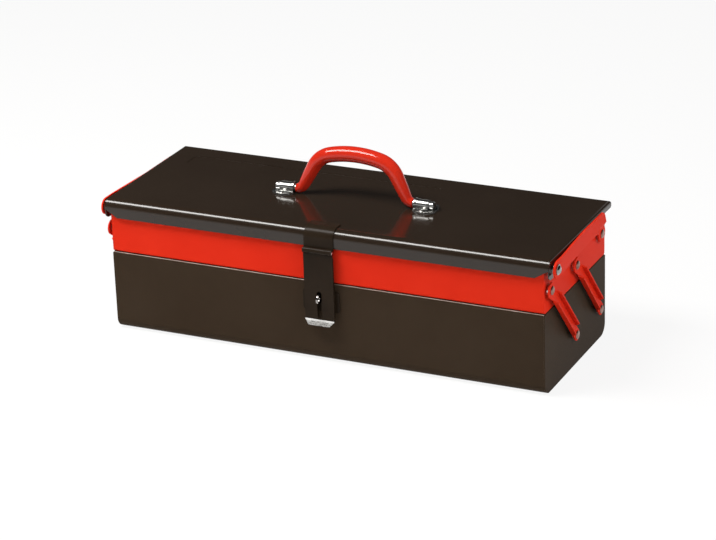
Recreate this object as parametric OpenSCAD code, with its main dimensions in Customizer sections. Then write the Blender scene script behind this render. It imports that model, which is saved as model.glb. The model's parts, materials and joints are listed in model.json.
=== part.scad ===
// Steel cantilever tool box: an open base, a full-depth tray carried on parallel arms,
// a lid hinged at the back of the tray, a folding handle and a hasp for a padlock.
// Millimetres, +Z up, +X to the right, the hasp at the front on -Y.
// The origin is the centre of the base's underside.

/* [Base box] */
// Length of the base over its end plates
base_l = 475; // [380:1:600]
// Depth of the base, front to back
base_d = 168; // [150:1:210]
// Height of the base to its rim
base_h = 86; // [74:1:110]
// Radius of the folded lower edges of the base
lower_edge_r = 12; // [8:1:16]

/* [Sheet metal] */
// Thickness of the body sheet
sheet = 1; // [0.8:0.1:1.2]
// Height of the hem folded inwards along each rim
rim_hem = 6; // [4:1:8]
// Width of the flanges that join an end plate to the folded body
seam_flange = 10; // [8:1:14]

/* [Tray] */
// Height of the tray
tray_h = 46.5; // [40:0.5:54]
// How far the tray's walls stand inside the base's walls
tray_inset = 0.5; // [0.5:0.5:2]
// Gap between the base's rim and the tray's floor
tray_lift = 0.5; // [0.3:0.1:1]
// Radius of the tray's folded lower edges
tray_edge_r = 2.5; // [2:0.5:6]
// Height of the lengthwise divider
divider_h = 30; // [22:1:36]
// Width of the divider's foot
divider_foot = 9; // [7:1:12]

/* [Swing arms] */
// Height of the lower pivots above the ground
base_pivot_h = 35.5; // [30:0.5:45]
// Height of the upper pivots above the base's rim
tray_pivot_rise = 23.5; // [19:0.5:26]
// Distance of the front upper pivots behind the base's front
front_pivot_setback = 8.5; // [8:0.5:14]
// Distance between the front and the rear pivots
pivot_spacing = 68.5; // [56:0.5:80]
// How far the arms lean forward from the lower to the upper pivots
arm_reach = 67.5; // [56:0.5:76]
// Thickness of the arm's sheet
arm_t = 1.5; // [1.2:0.1:2]
// Width of an arm over its flanges
arm_w = 13; // [11:0.5:16]
// Height of an arm's flanges
arm_flange = 4.5; // [3:0.5:5.5]
// Radius of the upper eye
upper_eye_r = 8; // [7:0.5:9.5]
// Distance from an arm to the base's end plate
arm_standoff = 3; // [2.5:0.5:4]
// Radius of the bushes behind the arms
bush_r = 4.5; // [4:0.5:6]
// Radius of the pivot rivets
rivet_r = 2.5; // [2:0.25:3]
// Radius of the pivot rivets' heads
rivet_head_r = 4.4; // [3.8:0.2:5.4]

/* [Lid] */
// Height of the lid's top above the tray's rim
lid_rise = 10; // [9:0.5:13]
// Overhang of the lid in front of the base
lid_front_over = 2.5; // [2:0.5:4]
// Overhang of the lid behind the base
lid_back_over = 4; // [3.5:0.5:6]
// Overhang of the lid past each end plate
lid_end_over = 5; // [4.5:0.5:7]
// Radius of the roll along the lid's front
lid_roll_r = 10; // [8:0.5:11]
// Radius of the lid's side and rear edges
lid_edge_r = 3; // [2:0.5:4]
// Height of the lid's front flange
lid_front_h = 18.5; // [16:0.5:21]
// Height of the lid's side hems
lid_side_h = 7; // [6:0.5:7.5]
// Height of the lip along the lid's back
lid_lip_h = 6; // [4:0.5:6]
// Height of the ears at the lid's front corners
ear_h = 21; // [20:0.5:22]
// Width of the ears
ear_w = 25; // [22:1:30]
// Depth of the shallow panel pressed in the lid
panel_depth = 0.5; // [0.3:0.1:0.6]

/* [Lid arms] */
// Thickness of a lid arm
lid_arm_t = 1.8; // [1.5:0.1:2.2]
// Half the height of a lid arm, and the radius of its ends
lid_arm_r = 8.8; // [8:0.2:9]
// Gap between the lid's side and the upright web of its arm
lid_arm_gap = 3.6; // [3.2:0.2:5]
// Distance of the lid's hinge in front of the base's back
hinge_setback = 19; // [17:0.5:22]
// Height of the lid's hinge above the base's rim
hinge_rise = 29.5; // [27:0.5:31]
// Radius of the bolt that holds the lid arm's front end
lid_bolt_r = 2.5; // [2:0.25:3]

/* [Handle] */
// Radius of the handle's steel rod
rod_r = 4; // [3.5:0.25:5]
// Distance from the middle to the start of each bend
handle_half = 65; // [56:1:78]
// Height of the grip's middle above the rod's ends
handle_rise = 42.5; // [36:0.5:52]
// How far the upright handle leans back
handle_lean = 6; // [0:1:10]
// Radius of the soft grip at its middle
grip_mid_r = 8.2; // [7:0.1:9]
// Thickness of the clips' sheet
clip_t = 1.2; // [1:0.1:1.5]
// Length of a clip along the rod
clip_l = 15.5; // [14:0.5:20]
// Width of a clip's plate across the rod
clip_w = 27; // [24:1:32]

/* [Hasp] */
// Width of the hasp
hasp_w = 32; // [28:1:36]
// Height of the hasp's hinge pin above the base's rim
hasp_pin_rise = 35.5; // [35:0.5:36]
// Thickness of the hasp's sheet
hasp_t = 1.2; // [1:0.1:1.4]
// Height of the hasp's lower end above the ground
hasp_foot_h = 42.2; // [40:0.2:43]
// Depth of the hasp's folded sides
hasp_side = 2.8; // [2:0.2:2.8]
// Radius of the hasp's hinge pin
hasp_pin_r = 1.6; // [1.4:0.1:1.8]
// Height of the padlock eye above the ground
staple_h = 70.5; // [69.5:0.5:71.5]
// How far the staple stands in front of the hasp
staple_out = 5.8; // [5.2:0.2:5.8]
// Radius of the padlock eye
eye_r = 2; // [1.5:0.1:2.2]

/* [Hidden] */
$fn = 48;

box_dark = "#3a302a";
lid_dark = "#30261f";
box_red = "#d22d1c";
zinc = "#c9cbcc";

fit = 0.05;          // radial gap round a rivet or bolt that is clinched
run = 0.08;          // radial gap round a pin that turns
loose = 0.2;         // radial gap in the rear arms' upper eyes
end_play = 0.1;      // gap beside each face that turns against another
cut = 0.1;           // how far a cutter runs past the face it opens

front = -base_d / 2;
back = base_d / 2;
end_x = base_l / 2;

tray_l = base_l - 2 * tray_inset;
tray_d = base_d - 2 * tray_inset;
tray_z = base_h + tray_lift;
tray_rim = tray_z + tray_h;

// pivots of the arms, in Y and Z
front_top = [front + front_pivot_setback, base_h + tray_pivot_rise];
rear_top = [front_top[0] + pivot_spacing, front_top[1]];
front_low = [front_top[0] + arm_reach, base_pivot_h];
rear_low = [front_low[0] + pivot_spacing, base_pivot_h];
arm_in = end_x + arm_standoff + end_play;       // inner face of an arm
arm_low_r = arm_w / 2;

// lid
lid_top = tray_rim + lid_rise;
lid_front = front - lid_front_over;
lid_back = back + lid_back_over;
lid_x = end_x + lid_end_over;
lid_hinge = [back - hinge_setback, base_h + hinge_rise];
ear_corner_r = 8;
flange_corner = [13, 8];                        // cut off the front flange's lower corners
lid_bolt = [lid_front + 11.5, lid_top - 2.5 - lid_arm_r];
nut_r = 4.2;
nut_t = 2.4;
panel_x = [-215, 72];
panel_y = [37, 62];
panel_r = 6;

// lid arms
web_in = lid_x + lid_arm_gap;                   // inner face of a lid arm's web
crank_in = end_x + 2;                           // inner face of its joggled lower end
web_turn = [lid_bolt[0] + 14, 4];               // where the web slants in to the lid's side
arm_rear = [lid_hinge[0] - 7, lid_bolt[1]];     // middle of the arm's upper rear corner
joggle_y = lid_hinge[0] - 15;                   // front end of the inset lower rear corner
joggle_z = [lid_bolt[1] - 8.6, lid_bolt[1] - 3.6];
bolt_head_r = 5.4;
bolt_head_h = 3.2;

// handle
rod_z = lid_top + clip_t + rod_r + run;
rod_gap = 0.3;                                  // gap between the grip's bore and the rod
grip_end_r = rod_r + 0.9;                       // clears the lid under the clips' height
swell = 0.58;                                   // below 1 the grip thickens soon after its ends
grip_lip = 0.35;                                // how much the grip's mouths are rounded in
low_bend_r = 9.5;
low_bend = 62;                                  // angle of the legs
top_bend_r = 28.2;
crown = 13.8;                                   // angle at which the crown starts
crown_x = handle_half - low_bend_r * sin(low_bend) - top_bend_r * (sin(low_bend) - sin(crown));
low_rise = low_bend_r * (1 - cos(low_bend)) + top_bend_r * (cos(crown) - cos(low_bend));
crown_lift = (1 - cos(crown)) / sin(crown);
leg = (handle_rise - low_rise - crown_lift * crown_x) / (sin(low_bend) - crown_lift * cos(low_bend));
crown_r = (crown_x - leg * cos(low_bend)) / sin(crown);
clip_x = handle_half + 2;                       // inner end of a clip
rod_end = clip_x + clip_l + 5.5;
saddle_r = rod_r + run + clip_t;
foot_l = clip_l + 8.5;
foot_corner_r = 9;
foot_mid = clip_x - 1 + foot_l / 2;             // a foot starts clear of the grip's mouth
foot_hole_y = clip_w / 2 - 4;
foot_rivet_r = rivet_r - 0.7;
rod_slack = 0.03;                               // how far the bend lies inside the straight ends
grip_sides = 20;
leg_step = 5;

// hasp
knuckle_r = 2.9;
bracket_w = hasp_w;
bracket_t = 1.2;
bracket_gap = 0.05;
bracket_back = lid_front + 19;                  // rear edge of the bracket on the lid's top
hasp_pin = [lid_front - knuckle_r - 0.2, base_h + hasp_pin_rise];
knuckle_w = 7;                                  // length of each outer knuckle
hasp_front = hasp_pin[0] - hasp_t / 2;
hasp_back = hasp_pin[0] + hasp_t / 2;
lip_h = 6.2;
lip_t = 0.8;
lip_lap = 2.4;                                  // height of the lip's strip on the plate's front
lip_chamfer = [4.5, 5.2];
slot_w = 5;
slot_low = staple_h - 21.7;                     // the hanging hasp passes the staple as the lid opens
slot_high = staple_h + 7.5;
catch_t = 1.5;
catch_w = hasp_w + 8;
catch_h = 22;
catch_x = 9.5;
staple_t = 2.4;
staple_r = 4.6;
staple_nose = hasp_front - staple_out + staple_r;
eye_y = staple_nose - 1;                        // the eye lies wholly in front of the hasp

// ---------- helpers ----------

// a profile drawn in Y and Z, run along X
module along_x(x0, x1) {
    translate([x0, 0, 0]) rotate([90, 0, 90]) linear_extrude(x1 - x0) children();
}

// a profile drawn in X and Z, run along Y
module along_y(y0, y1) {
    translate([0, y1, 0]) rotate([90, 0, 0]) linear_extrude(y1 - y0) children();
}

module rod_x(x0, x1, at, r) {
    translate([x0, at[0], at[1]]) rotate([0, 90, 0]) cylinder(r = r, h = x1 - x0);
}

module both_ends() {
    children();
    mirror([1, 0, 0]) children();
}

// a low domed head that stands on z = 0
module dome(r, h) {
    ball = (r * r + h * h) / (2 * h);
    intersection() {
        translate([0, 0, h - ball]) sphere(r = ball, $fn = 64);
        cylinder(r = r, h = h);
    }
}

module dome_x(x0, at, r, h) {
    translate([x0, at[0], at[1]]) rotate([0, 90, 0]) dome(r, h);
}

// the outline round two circles and lines a hair inside their common tangents
module link2d(a, ra, b, rb) {
    tuck = 0.02;
    span = norm(b - a);
    heading = atan2(b[1] - a[1], b[0] - a[0]);
    open = acos((ra - rb) / span);
    translate(a) circle(r = ra);
    translate(b) circle(r = rb);
    up = [cos(heading + open), sin(heading + open)];
    down = [cos(heading - open), sin(heading - open)];
    polygon([
        a + (ra - tuck) * up, a + (ra - tuck) * down,
        b + (rb - tuck) * down, b + (rb - tuck) * up
    ]);
}

module rounded2d(w, h, r) {
    for (sx = [-1, 1], sy = [-1, 1])
        translate([sx * (w / 2 - r), sy * (h / 2 - r)]) circle(r = r);
    square([w - 2 * r, h], center = true);
    square([w, h - 2 * r], center = true);
}

// a tub's outline with round lower corners, standing on 0
module tub2d(w, h, r) {
    translate([-w / 2, r]) square([w, h - r]);
    translate([r - w / 2, 0]) square([w - 2 * r, r]);
    for (s = [-1, 1]) translate([s * (w / 2 - r), r]) circle(r = r);
}

// front, floor and back folded from one sheet, with hems along both rims
module trough2d(w, h, r) {
    difference() {
        tub2d(w, h - sheet, r);
        translate([0, sheet]) tub2d(w - 2 * sheet, h, r - sheet);
    }
    for (s = [-1, 1]) {
        translate([s * (w / 2 - sheet), h - sheet]) circle(r = sheet);
        translate([s * (w / 2 - 1.5 * sheet) - sheet / 2, h - rim_hem])
            square([sheet, rim_hem - sheet]);
    }
}

module trough(l, w, h, r) {
    along_x(sheet - l / 2, l / 2 - sheet) trough2d(w, h, r);
}

// the right-hand end plate: a hemmed rim, and flanges that lie inside the trough
module end_plate(l, w, h, r) {
    inner = l / 2 - sheet;
    hem_half = w / 2 - 2 * sheet;
    along_x(inner, l / 2) tub2d(w, h - sheet, r);
    along_y(-hem_half, hem_half) {
        translate([inner, h - sheet]) circle(r = sheet);
        translate([inner - sheet, h - rim_hem]) square([sheet, rim_hem - sheet]);
    }
    for (s = [-1, 1])
        translate([inner - seam_flange, s * (w / 2 - 1.5 * sheet) - sheet / 2, r])
            cube([seam_flange, sheet, h - rim_hem - sheet - r]);
    translate([inner - seam_flange, r - w / 2, sheet]) cube([seam_flange, w - 2 * r, sheet]);
}

// a bush outside an end plate
module bush(x0, x1, at) {
    difference() {
        rod_x(x0, x1, at, bush_r);
        rod_x(x0 - cut, x1 + cut, at, rivet_r + fit);
    }
}

// a pivot rivet: a clinched tail inside the wall, a shank and a domed head
module pivot_rivet(wall_in, head_at, at) {
    tail = 1.2;
    rod_x(wall_in - tail, wall_in, at, rivet_head_r - 0.6);
    rod_x(wall_in - tail, head_at, at, rivet_r);
    dome_x(head_at, at, rivet_head_r, 1.8);
}

// ---------- base ----------

module base_shell() {
    color(box_dark) difference() {
        trough(base_l, base_d, base_h, lower_edge_r);
        for (s = [-1, 1]) catch_hole(s);
    }
}

module catch_hole(s) {
    translate([s * catch_x, front - catch_t - cut, staple_h - 6]) rotate([-90, 0, 0])
        cylinder(r = rivet_r - 0.5 + fit, h = catch_t + sheet + 2 * cut);
}

module base_end() {
    color(box_dark) difference() {
        end_plate(base_l, base_d, base_h, lower_edge_r);
        for (p = [front_low, rear_low]) rod_x(end_x - 2 * sheet, end_x + cut, p, rivet_r + fit);
    }
}

module base_end_right() base_end();
module base_end_left() mirror([1, 0, 0]) base_end();

module base_bushes() {
    color(zinc) both_ends() for (p = [front_low, rear_low])
        bush(end_x, arm_in - end_play, p);
}

module base_rivets() {
    color(zinc) both_ends() for (p = [front_low, rear_low])
        pivot_rivet(end_x - sheet, arm_in + arm_t + end_play, p);
}

// the plate behind the hasp, riveted to the base's front
module catch_plate() {
    color(box_dark) difference() {
        translate([0, front, staple_h - 4]) rotate([90, 0, 0])
            linear_extrude(catch_t) rounded2d(catch_w, catch_h, 3);
        for (s = [-1, 1]) catch_hole(s);
    }
}

// the upright ear that passes through the hasp and takes a padlock
module catch_staple() {
    color(zinc) difference() {
        along_x(-staple_t / 2, staple_t / 2) {
            translate([staple_nose, staple_h]) circle(r = staple_r);
            translate([staple_nose, staple_h - staple_r])
                square([front - catch_t - staple_nose, 2 * staple_r]);
        }
        rod_x(-staple_t, staple_t, [eye_y, staple_h], eye_r);
    }
}

module catch_rivets() {
    r = rivet_r - 0.5;
    color(zinc) for (s = [-1, 1]) translate([s * catch_x, front + sheet, staple_h - 6])
        rotate([90, 0, 0]) {
            cylinder(r = r, h = catch_t + sheet);
            translate([0, 0, catch_t + sheet]) dome(r + 1.4, 1);
            mirror([0, 0, 1]) cylinder(r = r + 1, h = 0.8);
        }
}

// ---------- swing arms ----------

// cross-section of an arm's channel: X is outwards, Y is across the arm
module channel2d() {
    bend = arm_t;
    difference() {
        union() {
            translate([bend, -arm_w / 2]) square([arm_flange + arm_t - bend, arm_w]);
            translate([0, bend - arm_w / 2]) square([bend, arm_w - 2 * bend]);
            for (s = [-1, 1]) translate([bend, s * (arm_w / 2 - bend)]) circle(r = bend);
        }
        translate([arm_t, arm_t - arm_w / 2]) square([arm_flange + cut, arm_w - 2 * arm_t]);
    }
}

// an arm between its upper pivot and its lower one, on the right-hand end
module swing_arm(top, low, top_gap) {
    span = norm(low - top);
    heading = atan2(low[1] - top[1], low[0] - top[0]);
    flange_from = upper_eye_r + 4;
    flange_to = span - arm_low_r - 4;
    slope = arm_flange;
    neck_r = arm_w / 2 - 0.6 * arm_t;
    color(box_red) translate([arm_in, top[0], top[1]]) rotate([heading, 0, 0]) {
        difference() {
            along_x(0, arm_t) {
                link2d([0, 0], upper_eye_r, [flange_from - 1, 0], neck_r);
                link2d([flange_to + 1, 0], neck_r, [span, 0], arm_low_r - 0.5);
            }
            rod_x(-cut, arm_t + cut, [0, 0], rivet_r + top_gap);
            rod_x(-cut, arm_t + cut, [span, 0], rivet_r + run);
        }
        intersection() {
            translate([0, flange_from, 0]) rotate([-90, 0, 0]) mirror([0, 1, 0])
                linear_extrude(flange_to - flange_from) channel2d();
            translate([0, 0, -arm_w]) linear_extrude(2 * arm_w) polygon([
                [-cut, flange_from - cut], [arm_t, flange_from],
                [arm_t + slope, flange_from + slope], [arm_t + slope + cut, flange_to - slope],
                [arm_t, flange_to], [-cut, flange_to + cut]
            ]);
        }
    }
}

module front_arm_right() swing_arm(front_top, front_low, run);
module front_arm_left() mirror([1, 0, 0]) front_arm_right();
module rear_arm_right() swing_arm(rear_top, rear_low, loose);
module rear_arm_left() mirror([1, 0, 0]) rear_arm_right();

// ---------- tray ----------

module tray_shell() {
    color(box_red) translate([0, 0, tray_z]) trough(tray_l, tray_d, tray_h, tray_edge_r);
}

module tray_end() {
    color(box_red) difference() {
        translate([0, 0, tray_z]) end_plate(tray_l, tray_d, tray_h, tray_edge_r);
        for (p = [front_top, rear_top, lid_hinge])
            rod_x(tray_l / 2 - 2 * sheet, tray_l / 2 + cut, p, rivet_r + fit);
    }
}

module tray_end_right() tray_end();
module tray_end_left() mirror([1, 0, 0]) tray_end();

// a lengthwise wall on a folded foot, with its top corners rounded off
module tray_divider() {
    half = tray_l / 2 - sheet - seam_flange - 1;
    corner = 8;
    floor_z = tray_z + sheet;
    color(box_red) {
        along_y(0, sheet) {
            translate([-half, floor_z]) square([2 * half, divider_h - corner]);
            translate([corner - half, floor_z + divider_h - corner])
                square([2 * (half - corner), corner]);
            for (s = [-1, 1]) translate([s * (half - corner), floor_z + divider_h - corner])
                circle(r = corner);
        }
        translate([-half, sheet, floor_z]) cube([2 * half, divider_foot - sheet, sheet]);
    }
}

module tray_bushes() {
    color(zinc) both_ends() for (p = [front_top, rear_top])
        bush(tray_l / 2, arm_in - end_play, p);
}

module tray_rivets() {
    color(zinc) both_ends() for (p = [front_top, rear_top])
        pivot_rivet(tray_l / 2 - sheet, arm_in + arm_t + end_play, p);
}

module lid_hinge_bushes() {
    color(zinc) both_ends() bush(tray_l / 2, crank_in - end_play, lid_hinge);
}

module lid_hinge_rivets() {
    color(zinc) both_ends()
        pivot_rivet(tray_l / 2 - sheet, crank_in + lid_arm_t + end_play, lid_hinge);
}

// ---------- lid ----------

// the lid's block in Y and Z, made smaller all round by t
module lid_side2d(t) {
    low = lid_top - ear_h;
    roll = lid_roll_r - t;
    edge = lid_edge_r - t;
    f = lid_front + t;
    b = lid_back - t;
    top = lid_top - t;
    translate([f + roll, top - roll]) circle(r = roll);
    translate([b - edge, top - edge]) circle(r = edge);
    translate([f, low]) square([b - f - edge, top - roll - low]);
    translate([f + roll, low]) square([b - f - roll - edge, top - low]);
    translate([b - edge - cut, low]) square([edge + cut, top - edge - low]);
}

// the same in X and Z
module lid_front2d(t) {
    low = lid_top - ear_h;
    edge = lid_edge_r - t;
    half = lid_x - t;
    top = lid_top - t;
    for (s = [-1, 1]) translate([s * (half - edge), top - edge]) circle(r = edge);
    translate([-half, low]) square([2 * half, top - edge - low]);
    translate([edge - half, low]) square([2 * (half - edge), top - low]);
}

module lid_block(t) {
    intersection() {
        along_x(-lid_x, lid_x) lid_side2d(t);
        along_y(lid_front, lid_back) lid_front2d(t);
    }
}

module panel(depth, grow) {
    translate([(panel_x[0] + panel_x[1]) / 2, (panel_y[0] + panel_y[1]) / 2, lid_top - depth])
        linear_extrude(depth + cut)
            rounded2d(panel_x[1] - panel_x[0] + 2 * grow, panel_y[1] - panel_y[0] + 2 * grow,
                panel_r + grow);
}

// what the sides and the back keep of the block's walls, seen from the end
module lid_keep_side2d() {
    low = lid_top - ear_h;
    rim = lid_top - lid_side_h;
    ear_back = lid_front + ear_w;
    translate([lid_front - cut, rim]) square([lid_back - lid_front + 2 * cut, lid_side_h + cut]);
    translate([lid_front - cut, low + ear_corner_r])
        square([ear_w + cut, ear_h - ear_corner_r]);
    translate([lid_front + ear_corner_r, low]) square([ear_w - 2 * ear_corner_r, ear_h]);
    for (y = [lid_front + ear_corner_r, ear_back - ear_corner_r])
        translate([y, low + ear_corner_r]) circle(r = ear_corner_r);
}

// what the front flange keeps, seen from the front
module lid_keep_front2d() {
    low = lid_top - lid_front_h;
    half = lid_x - sheet;
    full = lid_x + cut;
    polygon([
        [-full, lid_top], [-full, low + flange_corner[1]], [-half, low + flange_corner[1]],
        [flange_corner[0] - half, low], [half - flange_corner[0], low],
        [half, low + flange_corner[1]], [full, low + flange_corner[1]], [full, lid_top]
    ]);
}

module lid_shell() {
    low = lid_top - ear_h;
    color(lid_dark) difference() {
        lid_block(0);
        difference() {
            union() {
                lid_block(sheet);
                translate([sheet - lid_x, lid_front + sheet, low - cut])
                    cube([2 * (lid_x - sheet), lid_back - lid_front - 2 * sheet, 2 * cut]);
            }
            panel(panel_depth + sheet, sheet);
        }
        panel(panel_depth, 0);
        // side walls down to their hems, with an ear at each front corner
        difference() {
            translate([-lid_x - cut, lid_front + sheet + cut, low - cut])
                cube([2 * (lid_x + cut), lid_back - lid_front, ear_h - lid_edge_r]);
            along_x(-lid_x - 2 * cut, lid_x + 2 * cut) lid_keep_side2d();
        }
        // front flange
        difference() {
            translate([-lid_x - cut, lid_front - cut, low - cut])
                cube([2 * (lid_x + cut), sheet + 2 * cut, ear_h - lid_roll_r]);
            along_y(lid_front - 2 * cut, lid_front + sheet + 2 * cut) lid_keep_front2d();
        }
        // back lip
        translate([-lid_x - cut, lid_back - sheet - cut, low - cut])
            cube([2 * (lid_x + cut), sheet + 2 * cut, ear_h - lid_lip_h + cut]);
        both_ends() {
            rod_x(lid_x - 2 * sheet, lid_x + cut, lid_bolt, lid_bolt_r + fit);
            for (sy = [-1, 1]) translate([foot_mid, sy * foot_hole_y, lid_top - 2 * sheet])
                cylinder(r = foot_rivet_r + fit, h = 3 * sheet);
        }
    }
}

// the arm's plate from above: outside the bush in front, against the lid's side behind
module lid_arm_plan2d() {
    t = lid_arm_t;
    polygon([
        [web_in, lid_front - lid_arm_r], [web_in + t, lid_front - lid_arm_r],
        [web_in + t, web_turn[0]], [lid_x + t, web_turn[1]], [lid_x + t, lid_back],
        [lid_x, lid_back], [lid_x, web_turn[1]], [web_in, web_turn[0]]
    ]);
}

// the plate's section in X and Z at its rear, where its lower end is set inwards
module lid_arm_joggle2d() {
    t = lid_arm_t;
    polygon([
        [crank_in, base_h], [crank_in + t, base_h], [crank_in + t, joggle_z[0] - t / 3],
        [lid_x + t, joggle_z[1] - t / 3], [lid_x + t, lid_top], [lid_x, lid_top],
        [lid_x, joggle_z[1]], [crank_in, joggle_z[0]]
    ]);
}

// a link beside the lid, welded to the lid's side
module lid_arm() {
    t = lid_arm_t;
    color(box_red) difference() {
        intersection() {
            along_x(end_x, web_in + t + cut) {
                link2d(lid_bolt, lid_arm_r, arm_rear, lid_arm_r);
                link2d(arm_rear, lid_arm_r, lid_hinge, lid_arm_r);
            }
            union() {
                intersection() {
                    translate([0, 0, base_h]) linear_extrude(lid_top) lid_arm_plan2d();
                    translate([end_x, lid_front - lid_arm_r, base_h])
                        cube([lid_x, joggle_y - lid_front + lid_arm_r, lid_top]);
                }
                along_y(joggle_y, lid_back) lid_arm_joggle2d();
            }
        }
        rod_x(lid_x, web_in + t + cut, lid_bolt, lid_bolt_r + fit);
        rod_x(end_x, web_in + t + cut, lid_hinge, rivet_r + run);
    }
}

module lid_arm_right() lid_arm();
module lid_arm_left() mirror([1, 0, 0]) lid_arm();

module lid_arm_bushes() {
    color(zinc) both_ends() difference() {
        rod_x(lid_x, web_in, lid_bolt, bush_r);
        rod_x(lid_x - cut, web_in + cut, lid_bolt, lid_bolt_r + fit);
    }
}

module lid_arm_bolts() {
    head_at = web_in + lid_arm_t;
    color(zinc) both_ends() {
        rod_x(lid_x - sheet - nut_t - 0.6, head_at, lid_bolt, lid_bolt_r);
        dome_x(head_at, lid_bolt, bolt_head_r, bolt_head_h);
    }
}

module lid_arm_nuts() {
    color(zinc) both_ends() difference() {
        translate([lid_x - sheet - nut_t, lid_bolt[0], lid_bolt[1]]) rotate([0, 90, 0])
            cylinder(r = nut_r, h = nut_t, $fn = 6);
        rod_x(lid_x - sheet - nut_t - cut, lid_x - sheet + cut, lid_bolt, lid_bolt_r + fit);
    }
}

// ---------- handle ----------

module foot2d() {
    difference() {
        rounded2d(foot_l, clip_w, foot_corner_r);
        for (sy = [-1, 1]) translate([0, sy * foot_hole_y]) circle(r = foot_rivet_r + fit);
    }
}

// the plate under a rod end
module handle_plate_right() {
    color(zinc) translate([foot_mid, 0, lid_top]) linear_extrude(clip_t) foot2d();
}

module handle_plate_left() mirror([1, 0, 0]) handle_plate_right();

// a pressed saddle over the rod end, with a bead at its inner end
module handle_saddle_right() {
    plate = lid_top + clip_t;
    arch_l = clip_l;
    bead = 2.2;
    color(zinc) difference() {
        union() {
            translate([foot_mid, 0, plate]) linear_extrude(clip_t) foot2d();
            along_x(clip_x, clip_x + arch_l) {
                translate([0, rod_z]) circle(r = saddle_r);
                translate([-saddle_r, plate]) square([2 * saddle_r, rod_z - plate]);
            }
            along_x(clip_x, clip_x + bead) {
                translate([0, rod_z]) circle(r = saddle_r + 1);
                translate([-saddle_r - 1, plate]) square([2 * saddle_r + 2, rod_z - plate]);
            }
        }
        along_x(foot_mid - foot_l, foot_mid + foot_l) {
            translate([0, rod_z]) circle(r = rod_r + run);
            translate([-rod_r - run, plate - cut])
                square([2 * (rod_r + run), rod_z - plate + cut]);
        }
        translate([clip_x - cut, -clip_w, plate - 2 * saddle_r])
            cube([foot_l, 2 * clip_w, 2 * saddle_r]);
    }
}

module handle_saddle_left() mirror([1, 0, 0]) handle_saddle_right();

module saddle_rivets() {
    r = foot_rivet_r;
    foot_z = lid_top + 2 * clip_t;
    color(zinc) both_ends() for (sy = [-1, 1])
        translate([foot_mid, sy * foot_hole_y, 0]) {
            translate([0, 0, lid_top - sheet - 0.8]) cylinder(r = r + 1, h = 0.8);
            translate([0, 0, lid_top - sheet]) cylinder(r = r, h = foot_z - lid_top + sheet);
            translate([0, 0, foot_z]) dome(r + 1.4, 1.2);
        }
}

// centre line of the right half: [x, z, heading], from the clip to the middle
function arc_steps(centre, r, a0, a1, n) =
    [for (i = [0 : n - 1]) let (a = a0 + (a1 - a0) * i / n)
        [centre[0] + r * sin(a), centre[1] + r * cos(a), a]];

function half_line() =
    let (
        from = [
            handle_half - low_bend_r * sin(low_bend),
            rod_z + low_bend_r * (1 - cos(low_bend))
        ],
        to = from + leg * [-cos(low_bend), sin(low_bend)],
        top = to - top_bend_r * [sin(low_bend), cos(low_bend)],
        n = ceil(leg / leg_step)
    )
    concat(
        [for (i = [0 : 3]) let (a = low_bend * i / 4)
            [handle_half - low_bend_r * sin(a), rod_z + low_bend_r * (1 - cos(a)), a]],
        [for (i = [0 : n - 1]) [each (from + (to - from) * i / n), low_bend]],
        arc_steps(top, top_bend_r, low_bend, crown, 7),
        arc_steps([0, rod_z + handle_rise - crown_r], crown_r, crown, 0, 4)
    );

function whole_line() =
    let (half = half_line(), n = len(half))
    concat(
        half,
        [[0, rod_z + handle_rise, 0]],
        [for (i = [n - 1 : -1 : 0]) [-half[i][0], half[i][1], -half[i][2]]]
    );

// a ring of points across the centre line
function ring(p, r) = [
    for (k = [0 : grip_sides - 1]) let (a = 360 * k / grip_sides)
        [p[0] + r * cos(a) * sin(p[2]), r * sin(a), p[1] + r * cos(a) * cos(p[2])]
];

// the grip's radius swells from its ends to its middle, and clears the lid when it is folded
function grip_r(p) =
    grip_end_r + (grip_mid_r - grip_end_r) * pow(max(0, p[1] - rod_z) / handle_rise, swell);

function wrap_faces(n, rings, from) = [
    for (i = [0 : rings - 2], k = [0 : n - 1]) let (k2 = (k + 1) % n)
        [for (j = [i * n + k, (i + 1) * n + k, (i + 1) * n + k2, i * n + k2]) j + from]
];

// turned back about the rod's ends
module leaning() {
    translate([0, 0, rod_z]) rotate([-handle_lean, 0, 0]) translate([0, 0, -rod_z]) children();
}

// the bent rod, whose ends turn in the saddles
module handle_bar() {
    sink = 3;       // how far the bend's sweep starts inside the straight end
    line = concat(
        [[handle_half + sink, rod_z, 0]], whole_line(), [[-handle_half - sink, rod_z, 0]]);
    n = grip_sides;
    rings = len(line);
    color(zinc) leaning() {
        both_ends() {
            rod_x(handle_half, rod_end - 1, [0, rod_z], rod_r);
            translate([rod_end - 1, 0, rod_z]) rotate([0, 90, 0])
                cylinder(r1 = rod_r, r2 = rod_r - 0.8, h = 1);
        }
        polyhedron(
            points = [for (p = line) each ring(p, rod_r - rod_slack)],
            faces = concat(wrap_faces(n, rings, 0),
                [[for (k = [0 : n - 1]) k], [for (k = [n - 1 : -1 : 0]) (rings - 1) * n + k]])
        );
    }
}

module handle_grip() {
    line = whole_line();
    last = len(line) - 1;
    n = grip_sides;
    rings = len(line);
    radii = [for (i = [0 : last]) grip_r(line[i]) - (i == 0 || i == last ? grip_lip : 0)];
    outer = [for (i = [0 : last]) each ring(line[i], radii[i])];
    inner = [for (p = line) each ring(p, rod_r + rod_gap)];
    inside = rings * n;
    bore = [for (f = wrap_faces(n, rings, inside)) [for (j = [3 : -1 : 0]) f[j]]];
    mouth = [for (k = [0 : n - 1]) let (k2 = (k + 1) % n) [k, k2, inside + k2, inside + k]];
    tail = [for (k = [0 : n - 1]) let (k2 = (k + 1) % n, e = last * n)
        [e + k2, e + k, inside + e + k, inside + e + k2]];
    color(box_red) leaning() polyhedron(
        points = concat(outer, inner),
        faces = concat(wrap_faces(n, rings, 0), bore, mouth, tail));
}

// ---------- hasp ----------

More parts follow.
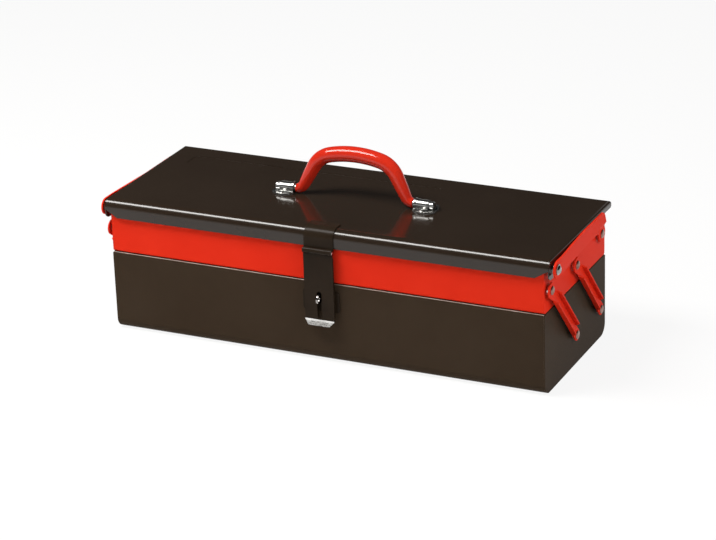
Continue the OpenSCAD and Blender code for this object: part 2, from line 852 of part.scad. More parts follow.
// the strap round the lid's roll, in Y and Z
module bracket2d() {
    roll = [lid_front + lid_roll_r, lid_top - lid_roll_r];
    inner = lid_roll_r + bracket_gap;
    outer = inner + bracket_t;
    intersection() {
        difference() {
            translate(roll) circle(r = outer, $fn = 96);
            translate(roll) circle(r = inner, $fn = 96);
        }
        translate([roll[0] - outer - cut, roll[1]]) square(outer + cut);
    }
    translate([roll[0], roll[1] + inner]) square([bracket_back - roll[0], bracket_t]);
    translate([roll[0] - outer, hasp_pin[1]]) square([bracket_t, roll[1] - hasp_pin[1]]);
}

module hasp_bracket() {
    half = bracket_w / 2;
    color(box_dark) difference() {
        along_x(-half, half) {
            bracket2d();
            translate(hasp_pin) circle(r = knuckle_r);
            translate(hasp_pin)
                square([lid_front - bracket_gap - hasp_pin[0], knuckle_r]);
        }
        rod_x(-bracket_w, bracket_w, hasp_pin, hasp_pin_r + fit);
        // room for the hasp's own knuckle
        rod_x(knuckle_w - half, half - knuckle_w, hasp_pin, knuckle_r + 0.3);
        translate([knuckle_w - half, hasp_pin[0] - 2 * knuckle_r, hasp_pin[1] - 2 * knuckle_r])
            cube([bracket_w - 2 * knuckle_w, 4 * knuckle_r, 2 * knuckle_r]);
    }
}

module hasp_pin() {
    half = bracket_w / 2;
    color(zinc) {
        rod_x(-half, half, hasp_pin, hasp_pin_r);
        both_ends() dome_x(half, hasp_pin, hasp_pin_r + 0.7, 0.8);
    }
}

module hasp_plate() {
    half = hasp_w / 2;
    top = hasp_pin[1] - knuckle_r - 0.35;
    low = hasp_foot_h + lip_h - lip_lap;
    mid = bracket_w / 2 - knuckle_w - end_play;
    color(box_dark) difference() {
        union() {
            along_x(-mid, mid) {
                translate(hasp_pin) circle(r = knuckle_r);
                translate([hasp_front, top - 1]) square([hasp_t, hasp_pin[1] - top + 1]);
            }
            translate([-half, hasp_front, low]) cube([hasp_w, hasp_t, top - low]);
            for (s = [-1, 1])
                translate([s * (half - hasp_t / 2) - hasp_t / 2, hasp_front, low + 2])
                    cube([hasp_t, hasp_side, top - low - 5]);
        }
        rod_x(-half, half, hasp_pin, hasp_pin_r + run);
        along_y(hasp_front - cut, hasp_back + cut) {
            translate([-slot_w / 2, slot_low + slot_w / 2])
                square([slot_w, slot_high - slot_low - slot_w]);
            for (z = [slot_low + slot_w / 2, slot_high - slot_w / 2])
                translate([0, z]) circle(r = slot_w / 2);
        }
    }
}

// the bright finger lip, welded to the plate's front at its lower end and flared outwards
module hasp_lip() {
    low = hasp_foot_h;
    top = low + lip_h;
    bend = top - lip_lap;
    half = hasp_w / 2;
    flare = 2.6;
    color(zinc) intersection() {
        along_x(-half, half) polygon([
            [hasp_front, top], [hasp_front - lip_t, top], [hasp_front - lip_t, bend + 0.4],
            [hasp_front - lip_t - flare, low + 0.4], [hasp_front - flare, low],
            [hasp_front, bend]
        ]);
        along_y(hasp_front - 4 * flare, front) polygon([
            [-half, top], [-half, low + lip_chamfer[1]], [lip_chamfer[0] - half, low],
            [half - lip_chamfer[0], low], [half, low + lip_chamfer[1]], [half, top]
        ]);
    }
}

base_shell();
base_end_left();
base_end_right();
base_bushes();
base_rivets();
catch_plate();
catch_staple();
catch_rivets();
front_arm_left();
front_arm_right();
rear_arm_left();
rear_arm_right();
tray_shell();
tray_end_left();
tray_end_right();
tray_divider();
tray_bushes();
tray_rivets();
lid_hinge_bushes();
lid_hinge_rivets();
lid_shell();
lid_arm_left();
lid_arm_right();
lid_arm_bushes();
lid_arm_bolts();
lid_arm_nuts();
handle_plate_left();
handle_plate_right();
handle_saddle_left();
handle_saddle_right();
saddle_rivets();
hasp_bracket();
hasp_pin();
handle_bar();
handle_grip();
hasp_plate();
hasp_lip();
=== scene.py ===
import json
import math

import bpy
from mathutils import Matrix, Vector

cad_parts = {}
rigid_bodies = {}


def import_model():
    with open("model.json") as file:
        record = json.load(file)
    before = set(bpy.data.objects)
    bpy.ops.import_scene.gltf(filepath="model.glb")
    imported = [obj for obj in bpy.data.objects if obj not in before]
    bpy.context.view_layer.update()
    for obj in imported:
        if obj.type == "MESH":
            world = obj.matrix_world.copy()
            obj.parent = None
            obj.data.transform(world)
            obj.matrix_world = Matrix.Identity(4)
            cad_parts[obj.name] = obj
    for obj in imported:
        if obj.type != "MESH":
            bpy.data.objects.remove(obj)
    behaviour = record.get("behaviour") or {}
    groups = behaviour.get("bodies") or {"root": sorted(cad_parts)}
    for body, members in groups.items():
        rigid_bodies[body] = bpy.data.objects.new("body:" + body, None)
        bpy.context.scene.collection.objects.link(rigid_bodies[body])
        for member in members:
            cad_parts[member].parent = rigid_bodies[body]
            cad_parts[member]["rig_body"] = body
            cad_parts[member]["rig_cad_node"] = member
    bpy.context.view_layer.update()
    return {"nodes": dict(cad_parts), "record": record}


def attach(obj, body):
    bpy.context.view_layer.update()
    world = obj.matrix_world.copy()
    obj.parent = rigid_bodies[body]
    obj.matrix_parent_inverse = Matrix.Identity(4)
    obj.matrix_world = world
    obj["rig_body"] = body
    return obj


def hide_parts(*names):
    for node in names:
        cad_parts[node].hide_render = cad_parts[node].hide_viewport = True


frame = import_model()
nodes = frame["nodes"]
mm = 0.001
print("packed model loaded:", len(nodes), "nodes")


camera = dict(
    turn=25.6246,          # degrees round the box from its front
    rise=22.3169,          # degrees above the horizon
    roll=-1.9967,
    distance=2.83015,      # from the origin, before the two small shifts
    sideShift=-0.00159,
    upShift=0.06172,
    lensMm=138.088,
    sensorMm=36.0,
    nearest=0.05,
    farthest=300.0,        # past the far edge of the studio floor
)


def addCamera(c):
    turn, rise, roll = (math.radians(c[k]) for k in ("turn", "rise", "roll"))
    level = math.cos(rise)
    back = Vector((math.sin(turn) * level, -math.cos(turn) * level, math.sin(rise)))
    side = Vector((0, 0, 1)).cross(back).normalized()
    up = back.cross(side)
    right = side * math.cos(roll) + up * math.sin(roll)
    top = up * math.cos(roll) - side * math.sin(roll)
    data = bpy.data.cameras.new("photoCamera")
    data.lens = c["lensMm"]
    data.sensor_width = c["sensorMm"]
    data.clip_start = c["nearest"]
    data.clip_end = c["farthest"]
    eye = bpy.data.objects.new("photoCamera", data)
    bpy.context.scene.collection.objects.link(eye)
    place = back * c["distance"] + right * c["sideShift"] + top * c["upShift"]
    turned = Matrix((right, top, back)).transposed().to_4x4()
    eye.matrix_world = Matrix.Translation(place) @ turned
    bpy.context.scene.camera = eye


addCamera(camera)
print("camera placed")


studio = dict(
    floorSize=120.0,
    floorColour=(0.9, 0.9, 0.9),
    floorRoughness=0.9,
    floorGloss=0.1,
    floorGlow=0.88,        # share of plain white in what the eye and gloss see of the floor
    ambient=0.19,          # strength of the soft light from all round
    ambientColour=(1, 0.995, 0.985),
    darkCeiling=0.03,      # what shiny faces see high up
    paleHorizon=0.60,      # and what they see low down
    paleBelow=0.06,        # heights between which one fades into the other
    darkAbove=0.2,
    lampAim=(0, 0, 0.09),  # the lamps face this point in the box
)

lamps = [
    # name, place, size in metres, power in watts, colour, seen in gloss
    ("overheadStrip", (-0.66, -0.52, 1.42), (0.95, 0.54), 31.0, (1.0, 0.985, 0.96), True),
    ("frontLeftBox", (-1.3, -2.0, 1.3), (1.3, 1.0), 3.5, (1.0, 0.985, 0.96), False),
    ("rightBox", (2.1, -0.5, 1.2), (1.1, 1.0), 26.0, (1.0, 0.975, 0.94), False),
]


def addLamps(rows, aim):
    for name, place, size, power, colour, mirrored in rows:
        data = bpy.data.lights.new(name, "AREA")
        data.shape = "RECTANGLE"
        data.size, data.size_y = size
        data.energy = power
        data.color = colour
        lamp = bpy.data.objects.new(name, data)
        lamp.visible_glossy = mirrored
        bpy.context.scene.collection.objects.link(lamp)
        away = (Vector(place) - Vector(aim)).normalized()
        along = Vector((1, 0, 0))
        along = (along - away * along.dot(away)).normalized()    # long side level with the box
        turned = Matrix((along, away.cross(along), away)).transposed().to_4x4()
        lamp.matrix_world = Matrix.Translation(place) @ turned


def addWorld(s):
    world = bpy.data.worlds.new("paleStudio")
    bpy.context.scene.world = world
    world.use_nodes = True
    tree = world.node_tree
    tree.nodes.clear()
    link = tree.links.new
    out = tree.nodes.new("ShaderNodeOutputWorld")
    seen = tree.nodes.new("ShaderNodeBackground")
    soft = tree.nodes.new("ShaderNodeBackground")
    shiny = tree.nodes.new("ShaderNodeBackground")
    seen.inputs["Color"].default_value = (1, 1, 1, 1)
    soft.inputs["Color"].default_value = (*s["ambientColour"], 1)
    soft.inputs["Strength"].default_value = s["ambient"]
    where = tree.nodes.new("ShaderNodeTexCoord")
    split = tree.nodes.new("ShaderNodeSeparateXYZ")
    link(where.outputs["Generated"], split.inputs[0])
    fade = tree.nodes.new("ShaderNodeValToRGB")
    ramp = fade.color_ramp
    ramp.elements[0].position = s["paleBelow"]
    ramp.elements[0].color = (s["paleHorizon"],) * 3 + (1,)
    ramp.elements[1].position = s["darkAbove"]
    ramp.elements[1].color = (s["darkCeiling"],) * 3 + (1,)
    link(split.outputs["Z"], fade.inputs["Fac"])
    link(fade.outputs["Color"], shiny.inputs["Color"])
    path = tree.nodes.new("ShaderNodeLightPath")
    first = tree.nodes.new("ShaderNodeMixShader")
    second = tree.nodes.new("ShaderNodeMixShader")
    link(path.outputs["Is Glossy Ray"], first.inputs["Fac"])
    link(soft.outputs[0], first.inputs[1])
    link(shiny.outputs[0], first.inputs[2])
    link(path.outputs["Is Camera Ray"], second.inputs["Fac"])
    link(first.outputs[0], second.inputs[1])
    link(seen.outputs[0], second.inputs[2])
    link(second.outputs[0], out.inputs["Surface"])


def addFloor(s):
    bpy.ops.object.select_all(action="DESELECT")
    bpy.ops.mesh.primitive_plane_add(size=s["floorSize"], location=(0, 0, 0))
    floor = bpy.context.active_object
    floor.name = "studioFloor"
    paper = bpy.data.materials.new("palePaper")
    paper.use_nodes = True
    tree = paper.node_tree
    shader = tree.nodes["Principled BSDF"]
    shader.inputs["Base Color"].default_value = (*s["floorColour"], 1)
    shader.inputs["Roughness"].default_value = s["floorRoughness"]
    shader.inputs["Specular IOR Level"].default_value = s["floorGloss"]
    glow = tree.nodes.new("ShaderNodeEmission")
    path = tree.nodes.new("ShaderNodeLightPath")
    looked = tree.nodes.new("ShaderNodeMath")
    looked.operation = "MAXIMUM"
    share = tree.nodes.new("ShaderNodeMath")
    share.operation = "MULTIPLY"
    share.inputs[1].default_value = s["floorGlow"]
    blend = tree.nodes.new("ShaderNodeMixShader")
    link = tree.links.new
    link(path.outputs["Is Camera Ray"], looked.inputs[0])
    link(path.outputs["Is Glossy Ray"], looked.inputs[1])
    link(looked.outputs[0], share.inputs[0])
    link(share.outputs[0], blend.inputs["Fac"])
    link(shader.outputs[0], blend.inputs[1])
    link(glow.outputs[0], blend.inputs[2])
    link(blend.outputs[0], tree.nodes["Material Output"].inputs["Surface"])
    floor.data.materials.append(paper)


bpy.context.scene.view_settings.view_transform = "Standard"
addLamps(lamps, studio["lampAim"])
addWorld(studio)
addFloor(studio)
print("studio lit")


# what the finishes share: detail and roughness of each noise, the part of its range that is
# used, and the depth of the relief in metres
pattern = dict(
    cloud=(4.0, 0.6), grain=(2.0, 0.5), peel=(1.5, 0.5), scratches=(3.0, 0.6),
    grainFrom=0.25, grainTo=0.75, darkBelow=0.3, lightAbove=0.7,
    peelDepth=0.0004, scratchDepth=0.0002,
)


def blankMaterial(name):
    material = bpy.data.materials.new(name)
    material.use_nodes = True
    tree = material.node_tree
    return material, tree, tree.nodes["Principled BSDF"]


def objectNoise(tree, scale, kind, stretch=(1, 1, 1)):
    detail, roughness = pattern[kind]
    where = tree.nodes.new("ShaderNodeTexCoord")
    mapping = tree.nodes.new("ShaderNodeMapping")
    mapping.inputs["Scale"].default_value = stretch
    noise = tree.nodes.new("ShaderNodeTexNoise")
    noise.inputs["Scale"].default_value = scale
    noise.inputs["Detail"].default_value = detail
    noise.inputs["Roughness"].default_value = roughness
    tree.links.new(where.outputs["Object"], mapping.inputs["Vector"])
    tree.links.new(mapping.outputs["Vector"], noise.inputs["Vector"])
    return noise


def spread(tree, source, low, high):
    ranged = tree.nodes.new("ShaderNodeMapRange")
    ranged.inputs["From Min"].default_value = pattern["grainFrom"]
    ranged.inputs["From Max"].default_value = pattern["grainTo"]
    ranged.inputs["To Min"].default_value = low
    ranged.inputs["To Max"].default_value = high
    tree.links.new(source.outputs["Fac"], ranged.inputs["Value"])
    return ranged.outputs["Result"]


def tint(tree, source, dark, light):
    fade = tree.nodes.new("ShaderNodeValToRGB")
    low, high = fade.color_ramp.elements
    low.position = pattern["darkBelow"]
    low.color = (*dark, 1)
    high.position = pattern["lightAbove"]
    high.color = (*light, 1)
    tree.links.new(source.outputs["Fac"], fade.inputs["Fac"])
    return fade.outputs["Color"]


def bump(tree, shader, source, strength, depth):
    relief = tree.nodes.new("ShaderNodeBump")
    relief.inputs["Strength"].default_value = strength
    relief.inputs["Distance"].default_value = depth
    tree.links.new(source.outputs["Fac"], relief.inputs["Height"])
    tree.links.new(relief.outputs["Normal"], shader.inputs["Normal"])


# stoved enamel and dipped vinyl: clouded colour, fine grain in the gloss, orange peel
def enamel(name, look):
    material, tree, shader = blankMaterial(name)
    cloud = objectNoise(tree, look["cloudScale"], "cloud")
    tree.links.new(tint(tree, cloud, look["dark"], look["light"]), shader.inputs["Base Color"])
    grain = objectNoise(tree, look["grainScale"], "grain")
    tree.links.new(spread(tree, grain, *look["roughness"]), shader.inputs["Roughness"])
    peel = objectNoise(tree, look["peelScale"], "peel")
    bump(tree, shader, peel, look["peelStrength"], pattern["peelDepth"])
    shader.inputs["Specular IOR Level"].default_value = look["gloss"]
    return material


bodyLook = dict(
    dark=(0.0350, 0.0230, 0.0145), light=(0.0420, 0.0285, 0.0185),
    cloudScale=9.0, grainScale=700.0, peelScale=420.0, peelStrength=0.10,
    roughness=(0.38, 0.46), gloss=0.015,
)
lidLook = dict(
    dark=(0.0185, 0.0118, 0.0076), light=(0.0225, 0.0148, 0.0098),
    cloudScale=7.0, grainScale=500.0, peelScale=260.0, peelStrength=0.035,
    roughness=(0.12, 0.15), gloss=0.45,
)
haspLook = dict(
    dark=(0.0170, 0.0110, 0.0068), light=(0.0225, 0.0150, 0.0095),
    cloudScale=22.0, grainScale=600.0, peelScale=420.0, peelStrength=0.08,
    roughness=(0.20, 0.28), gloss=0.06,
)
redLook = dict(
    dark=(0.620, 0.0225, 0.0085), light=(0.665, 0.0285, 0.0110),
    cloudScale=8.0, grainScale=600.0, peelScale=380.0, peelStrength=0.06,
    roughness=(0.32, 0.38), gloss=0.012,
)
# painted highlight: a pale gloss paint for the light line along the base's rims and cut ends
rimHighlightLook = dict(
    dark=(0.150, 0.105, 0.085), light=(0.330, 0.250, 0.215),
    cloudScale=60.0, grainScale=700.0, peelScale=420.0, peelStrength=0.10,
    roughness=(0.30, 0.42), gloss=0.30,
)
vinylLook = dict(
    dark=(0.51, 0.0200, 0.0080), light=(0.57, 0.0260, 0.0105),
    cloudScale=14.0, grainScale=300.0, peelScale=150.0, peelStrength=0.03,
    roughness=(0.08, 0.11), gloss=0.36,
)


# bright plate and drawn rod: cloudy tone and fine scratches
def plating(name, look):
    material, tree, shader = blankMaterial(name)
    cloud = objectNoise(tree, look["cloudScale"], "cloud")
    tree.links.new(tint(tree, cloud, look["dark"], look["light"]), shader.inputs["Base Color"])
    scratches = objectNoise(tree, look["grainScale"], "scratches", look["stretch"])
    tree.links.new(spread(tree, scratches, *look["roughness"]), shader.inputs["Roughness"])
    bump(tree, shader, scratches, look["grainStrength"], pattern["scratchDepth"])
    shader.inputs["Metallic"].default_value = 1.0
    return material


zincLook = dict(
    dark=(0.36, 0.36, 0.35), light=(0.68, 0.68, 0.66),
    cloudScale=130.0, grainScale=900.0, stretch=(1, 1, 1), grainStrength=0.2,
    roughness=(0.16, 0.30),
)
# dull zinc for the rivets; its red tint is a painted reflection of the red parts round them
dullZincLook = dict(
    dark=(0.20, 0.085, 0.065), light=(0.42, 0.27, 0.225),
    cloudScale=150.0, grainScale=900.0, stretch=(1, 1, 1), grainStrength=0.25,
    roughness=(0.30, 0.42),
)
brightLook = dict(
    dark=(0.68, 0.67, 0.65), light=(0.92, 0.91, 0.89),
    cloudScale=70.0, grainScale=700.0, stretch=(0.3, 1, 1), grainStrength=0.12,
    roughness=(0.22, 0.34),
)
boltLook = dict(
    dark=(0.20, 0.18, 0.17), light=(0.46, 0.44, 0.42),
    cloudScale=140.0, grainScale=900.0, stretch=(1, 1, 1), grainStrength=0.15,
    roughness=(0.14, 0.24),
)
rodLook = dict(
    dark=(0.50, 0.50, 0.49), light=(0.68, 0.68, 0.67),
    cloudScale=40.0, grainScale=800.0, stretch=(0.1, 1, 1), grainStrength=0.2,
    roughness=(0.20, 0.32),
)

finishes = dict(
    body=enamel("bodyEnamel", bodyLook),
    lid=enamel("lidEnamel", lidLook),
    hasp=enamel("haspEnamel", haspLook),
    red=enamel("redEnamel", redLook),
    vinyl=enamel("gripVinyl", vinylLook),
    worn=enamel("paintedRimHighlight", rimHighlightLook),
    zinc=plating("zincPlate", zincLook),
    dullZinc=plating("dullZinc", dullZincLook),
    bright=plating("brightZinc", brightLook),
    bolt=plating("boltZinc", boltLook),
    rod=plating("rodSteel", rodLook),
)
print("finishes mixed")

record = frame["record"]
bodyOf = {node: body for body, names in record["behaviour"]["bodies"].items() for node in names}


def workOn(piece):
    bpy.ops.object.select_all(action="DESELECT")
    piece.select_set(True)
    bpy.context.view_layer.objects.active = piece


def camel(node):
    first, *rest = node.split("_")
    return first + "".join(word.title() for word in rest)


def applyModifiers(piece):
    workOn(piece)
    for name in [m.name for m in piece.modifiers]:
        bpy.ops.object.modifier_apply(modifier=name)


def settle(piece, node, finish):
    piece.data.materials.clear()
    piece.data.materials.append(finishes[finish])
    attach(piece, bodyOf[node])
    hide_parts(node)


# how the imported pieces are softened, with angles in degrees
softening = dict(
    weld=2e-6,             # metres within which points become one
    flatWithin=0.4,        # faces that differ by less become one
    brokenAbove=38.0,      # edges sharper than this are broken
    segments=2,
    smoothBelow=32.0,      # and what is left is shaded smooth below this
    flatWeight=100,
)


# smooth across the rounded edges, with the large flat faces kept flat
def shadeFlatFacesTrue(piece, s):
    workOn(piece)
    bpy.ops.object.shade_smooth_by_angle(angle=math.radians(s["smoothBelow"]))
    weighted = piece.modifiers.new("flatFaces", "WEIGHTED_NORMAL")
    weighted.mode = "FACE_AREA"
    weighted.weight = s["flatWeight"]
    weighted.keep_sharp = True
    applyModifiers(piece)


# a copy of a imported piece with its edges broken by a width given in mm
def softenedSheet(node, finish, edge, s):
    workOn(nodes[node])
    bpy.ops.object.duplicate()
    piece = bpy.context.active_object
    bpy.ops.object.parent_clear(type="CLEAR_KEEP_TRANSFORM")
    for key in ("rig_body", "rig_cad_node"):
        if key in piece:
            del piece[key]
    piece.name = camel(node)
    piece.data.name = piece.name
    bpy.ops.object.transform_apply(location=True, rotation=True, scale=True)
    bpy.ops.mesh.customdata_custom_splitnormals_clear()
    bpy.ops.object.mode_set(mode="EDIT")
    bpy.ops.mesh.select_all(action="SELECT")
    bpy.ops.mesh.remove_doubles(threshold=s["weld"])
    bpy.ops.mesh.dissolve_limited(angle_limit=math.radians(s["flatWithin"]))
    bpy.ops.object.mode_set(mode="OBJECT")
    bevel = piece.modifiers.new("brokenEdges", "BEVEL")
    bevel.limit_method = "ANGLE"
    bevel.angle_limit = math.radians(s["brokenAbove"])
    bevel.width = edge * mm
    bevel.segments = s["segments"]
    bevel.use_clamp_overlap = True
    bevel.miter_outer = "MITER_ARC"
    applyModifiers(piece)
    shadeFlatFacesTrue(piece, s)
    settle(piece, node, finish)
    return piece


sheetPieces = [
    # node, finish, edge in mm
    ("base_shell", "body", 0.30), ("base_end_left", "body", 0.25), ("base_end_right", "body", 0.25),
    ("catch_plate", "hasp", 0.30), ("catch_staple", "bolt", 0.45),
    ("catch_rivets", "dullZinc", 0.15),
    ("front_arm_left", "red", 0.30), ("front_arm_right", "red", 0.30),
    ("rear_arm_left", "red", 0.30), ("rear_arm_right", "red", 0.30),
    ("tray_shell", "red", 0.30), ("tray_end_left", "red", 0.25), ("tray_end_right", "red", 0.25),
    ("tray_divider", "red", 0.25),
    ("lid_shell", "lid", 0.30), ("lid_arm_left", "red", 0.35), ("lid_arm_right", "red", 0.35),
    ("handle_plate_left", "zinc", 0.30), ("handle_plate_right", "zinc", 0.30),
    ("handle_saddle_left", "zinc", 0.40), ("handle_saddle_right", "zinc", 0.40),
    ("saddle_rivets", "zinc", 0.15), ("hasp_bracket", "hasp", 0.30), ("hasp_pin", "zinc", 0.15),
    ("hasp_plate", "hasp", 0.35), ("hasp_lip", "bright", 0.20),
    ("base_bushes", "zinc", 0.25), ("tray_bushes", "zinc", 0.25),
    ("lid_hinge_bushes", "zinc", 0.25), ("lid_arm_bushes", "zinc", 0.25),
    ("lid_arm_nuts", "zinc", 0.20), ("handle_bar", "rod", 0.15),
]
made = {}
for node, finish, edge in sheetPieces:
    made[node] = softenedSheet(node, finish, edge, softening)
    print("softened", node)


# painted highlight: pale paint on the base's rims and on the cut ends of its folded sheet, standing
# for the light line the lamps draw along them
paintedHighlight = dict(
    rimAbove=85.55,        # mm above the floor
    cutBeyond=236.35,      # mm from the middle
    cutFacing=0.9,         # how squarely a cut face looks sideways
)


def paintRimHighlight(piece, look):
    piece.data.materials.append(finishes["worn"])
    # faces on the rims and cut ends take the painted highlight as their second material
    for face in piece.data.polygons:
        lowest = min(piece.data.vertices[v].co.z for v in face.vertices)
        onRim = lowest > look["rimAbove"] * mm
        atEnd = abs(face.center.x) > look["cutBeyond"] * mm
        if onRim or (atEnd and abs(face.normal.x) > look["cutFacing"]):
            face.material_index = 1


paintRimHighlight(made["base_shell"], paintedHighlight)
print("rims rubbed")


# the sleeve on the handle, swept ring by ring along the rod's bends; millimetres and degrees
grip = dict(
    sides=44, half=65.0, rodHeight=148.28, rise=42.5, lean=6.0,
    lowBend=62.0, lowRadius=9.5, topRadius=28.2, crown=13.8,
    mouthRadius=4.9, midRadius=8.15, boreRadius=4.3, swell=0.58, lipRound=0.35,
    lowSteps=9, legSteps=8, topSteps=12, crownSteps=8,
    weld=1e-4, smoothBelow=50.0,
)
unchanged = 1e-6           # a turn or a scale that differs by less is left out


# rows of x, z and turn along the rod: low bend, straight leg, top bend, shallow crown
def gripLine(g):
    half, base = g["half"], g["rodHeight"]
    lowRadius, topRadius = g["lowRadius"], g["topRadius"]
    low, crown = math.radians(g["lowBend"]), math.radians(g["crown"])
    crownX = half - lowRadius * math.sin(low) - topRadius * (math.sin(low) - math.sin(crown))
    lowRise = lowRadius * (1 - math.cos(low)) + topRadius * (math.cos(crown) - math.cos(low))
    lift = (1 - math.cos(crown)) / math.sin(crown)
    leg = (g["rise"] - lowRise - lift * crownX) / (math.sin(low) - lift * math.cos(low))
    crownRadius = (crownX - leg * math.cos(low)) / math.sin(crown)
    top = base + g["rise"]
    rows = []
    for i in range(g["lowSteps"]):
        turn = low * i / g["lowSteps"]
        up = lowRadius * (1 - math.cos(turn))
        rows.append((half - lowRadius * math.sin(turn), base + up, turn))
    startX = half - lowRadius * math.sin(low)
    startZ = base + lowRadius * (1 - math.cos(low))
    for i in range(g["legSteps"]):
        gone = leg * i / g["legSteps"]
        rows.append((startX - gone * math.cos(low), startZ + gone * math.sin(low), low))
    endX, endZ = startX - leg * math.cos(low), startZ + leg * math.sin(low)
    midX, midZ = endX - topRadius * math.sin(low), endZ - topRadius * math.cos(low)
    for i in range(g["topSteps"]):
        turn = low + (crown - low) * i / g["topSteps"]
        rows.append((midX + topRadius * math.sin(turn), midZ + topRadius * math.cos(turn), turn))
    for i in range(g["crownSteps"]):
        turn = crown * (1 - i / g["crownSteps"])
        rows.append((crownRadius * math.sin(turn), top - crownRadius * (1 - math.cos(turn)), turn))
    return rows + [(0.0, top, 0.0)] + [(-x, z, -turn) for x, z, turn in reversed(rows)]


def makeGrip(g):
    line = gripLine(g)

    def outer(row):
        up = max(0.0, row[1] - g["rodHeight"]) / g["rise"]
        return g["mouthRadius"] + (g["midRadius"] - g["mouthRadius"]) * up ** g["swell"]

    lip, mouth = g["lipRound"], g["mouthRadius"]
    lipIn = [(way * (g["half"] - lip), g["rodHeight"], 0.0) for way in (1, -1)]
    rings = [(line[0], mouth - lip), (lipIn[0], mouth)]
    rings += [(row, outer(row)) for row in line[1:-1]]
    rings += [(lipIn[1], mouth), (line[-1], mouth - lip)]
    rings += [(row, g["boreRadius"]) for row in reversed(line)]
    bpy.ops.object.select_all(action="DESELECT")
    (x, z, turn), radius = rings[0]
    bpy.ops.mesh.primitive_circle_add(
        vertices=g["sides"], radius=radius * mm, fill_type="NOTHING",
        location=(x * mm, 0, z * mm), rotation=(0, math.radians(90), 0))
    piece = bpy.context.active_object
    piece.name = "gripSleeve"
    bpy.ops.object.transform_apply(location=True, rotation=True, scale=True)
    bpy.ops.object.mode_set(mode="EDIT")
    bpy.ops.mesh.select_mode(type="EDGE")
    bpy.ops.mesh.select_all(action="SELECT")
    for (nextX, nextZ, nextTurn), nextRadius in rings[1:]:
        bpy.ops.mesh.extrude_region_move(
            TRANSFORM_OT_translate={"value": ((nextX - x) * mm, 0, (nextZ - z) * mm)})
        centre = (nextX * mm, 0, nextZ * mm)
        if abs(nextTurn - turn) > unchanged:
            bpy.ops.transform.rotate(
                value=-(nextTurn - turn), orient_axis="Y", orient_type="GLOBAL",
                center_override=centre)
        scale = nextRadius / radius
        if abs(scale - 1) > unchanged:
            bpy.ops.transform.resize(value=(scale, scale, scale), center_override=centre)
        x, z, turn, radius = nextX, nextZ, nextTurn, nextRadius
    bpy.ops.mesh.select_all(action="DESELECT")
    bpy.ops.mesh.select_non_manifold()
    bpy.ops.mesh.bridge_edge_loops()
    bpy.ops.mesh.select_all(action="SELECT")
    bpy.ops.transform.rotate(
        value=math.radians(g["lean"]), orient_axis="X", orient_type="GLOBAL",
        center_override=(0, 0, g["rodHeight"] * mm))
    bpy.ops.mesh.remove_doubles(threshold=g["weld"] * mm)
    bpy.ops.mesh.normals_make_consistent(inside=False)
    bpy.ops.object.mode_set(mode="OBJECT")
    bpy.ops.object.shade_smooth_by_angle(angle=math.radians(g["smoothBelow"]))
    settle(piece, "handle_grip", "vinyl")


makeGrip(grip)
print("grip sleeve made")


# turned rivets and bolts, along X; each profile row is distance outwards and radius in mm
pivotRivet = dict(
    sides=40, smoothBelow=40.0, shank=2.5,
    head=[(0.0, 4.25), (0.12, 4.4), (0.45, 4.4), (0.8, 4.1), (1.25, 3.3), (1.6, 2.1),
          (1.72, 1.2), (1.62, 0.7)],
    tail=[(0.0, 3.8), (-0.8, 3.8), (-1.1, 3.4), (-1.2, 2.6), (-0.9, 1.6)],
)
armBolt = dict(
    sides=44, smoothBelow=40.0, shank=2.5,
    head=[(0.0, 5.25), (0.12, 5.4), (0.8, 5.4), (1.0, 5.15), (1.05, 4.3), (1.35, 4.15), (2.2, 3.7),
          (2.8, 2.7), (3.1, 1.5), (3.2, 0.5)],
    tail=[(0.0, 2.5), (-0.5, 2.5), (-0.6, 2.2)],
)


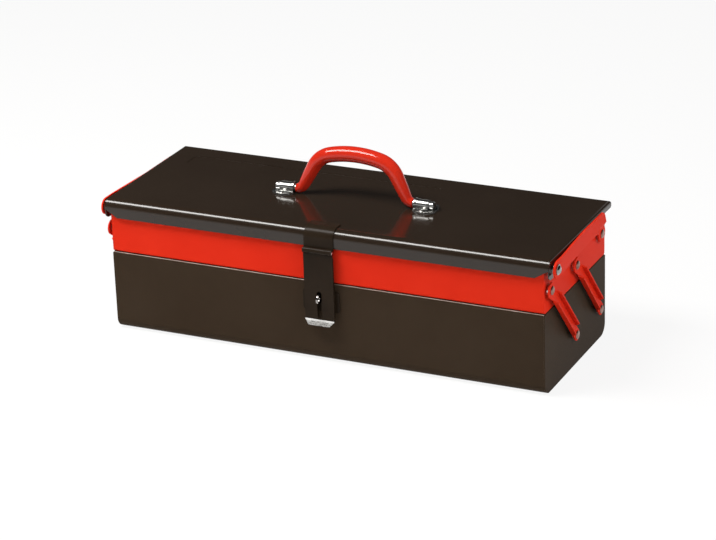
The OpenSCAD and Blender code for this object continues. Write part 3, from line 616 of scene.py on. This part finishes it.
# x: where the rows start from, at: the middle in y and z, way: 1 to the right, -1 to the left
def turnedStack(x, at, way, rows, sides):
    def centre(place):
        return ((x + way * place) * mm, at[0] * mm, at[1] * mm)

    bpy.ops.object.select_all(action="DESELECT")
    place, radius = rows[0]
    bpy.ops.mesh.primitive_circle_add(
        vertices=sides, radius=radius * mm, fill_type="NGON",
        location=centre(place), rotation=(0, math.radians(90), 0))
    piece = bpy.context.active_object
    bpy.ops.object.transform_apply(location=True, rotation=True, scale=True)
    bpy.ops.object.mode_set(mode="EDIT")
    bpy.ops.mesh.select_mode(type="FACE")
    bpy.ops.mesh.select_all(action="SELECT")
    for nextPlace, nextRadius in rows[1:]:
        bpy.ops.mesh.extrude_region_move(
            TRANSFORM_OT_translate={"value": (way * (nextPlace - place) * mm, 0, 0)})
        scale = nextRadius / radius
        bpy.ops.transform.resize(value=(1, scale, scale), center_override=centre(nextPlace))
        place, radius = nextPlace, nextRadius
    bpy.ops.mesh.select_all(action="SELECT")
    bpy.ops.mesh.normals_make_consistent(inside=False)
    bpy.ops.object.mode_set(mode="OBJECT")
    return piece


# wallIn: inner face of the wall, headAt: where the head starts, both as distances from the middle
def turnedSet(node, finish, shape, wallIn, headAt, places):
    shank = shape["shank"]
    rows = [(wallIn - headAt, shank), (0.0, shank)] + shape["head"]
    parts = []
    for way in (1, -1):
        for at in places:
            parts.append(turnedStack(way * headAt, at, way, rows, shape["sides"]))
            parts.append(turnedStack(way * wallIn, at, way, shape["tail"], shape["sides"]))
    bpy.ops.object.select_all(action="DESELECT")
    for part in parts:
        part.select_set(True)
    bpy.context.view_layer.objects.active = parts[0]
    bpy.ops.object.join()
    piece = bpy.context.active_object
    piece.name = camel(node)
    bpy.ops.object.shade_smooth_by_angle(angle=math.radians(shape["smoothBelow"]))
    settle(piece, node, finish)


turnedPieces = [
    # node, finish, shape, wallIn, headAt, middles in y and z, all in mm
    ("base_rivets", "dullZinc", pivotRivet, 236.5, 242.2, [(-8.0, 35.5), (60.5, 35.5)]),
    ("tray_rivets", "dullZinc", pivotRivet, 236.0, 242.2, [(-75.5, 109.5), (-7.0, 109.5)]),
    ("lid_hinge_rivets", "dullZinc", pivotRivet, 236.0, 241.4, [(65.0, 115.5)]),
    ("lid_arm_bolts", "bolt", armBolt, 239.1, 247.9, [(-75.0, 131.7)]),
]
for row in turnedPieces:
    turnedSet(*row)
    print("turned", row[0])
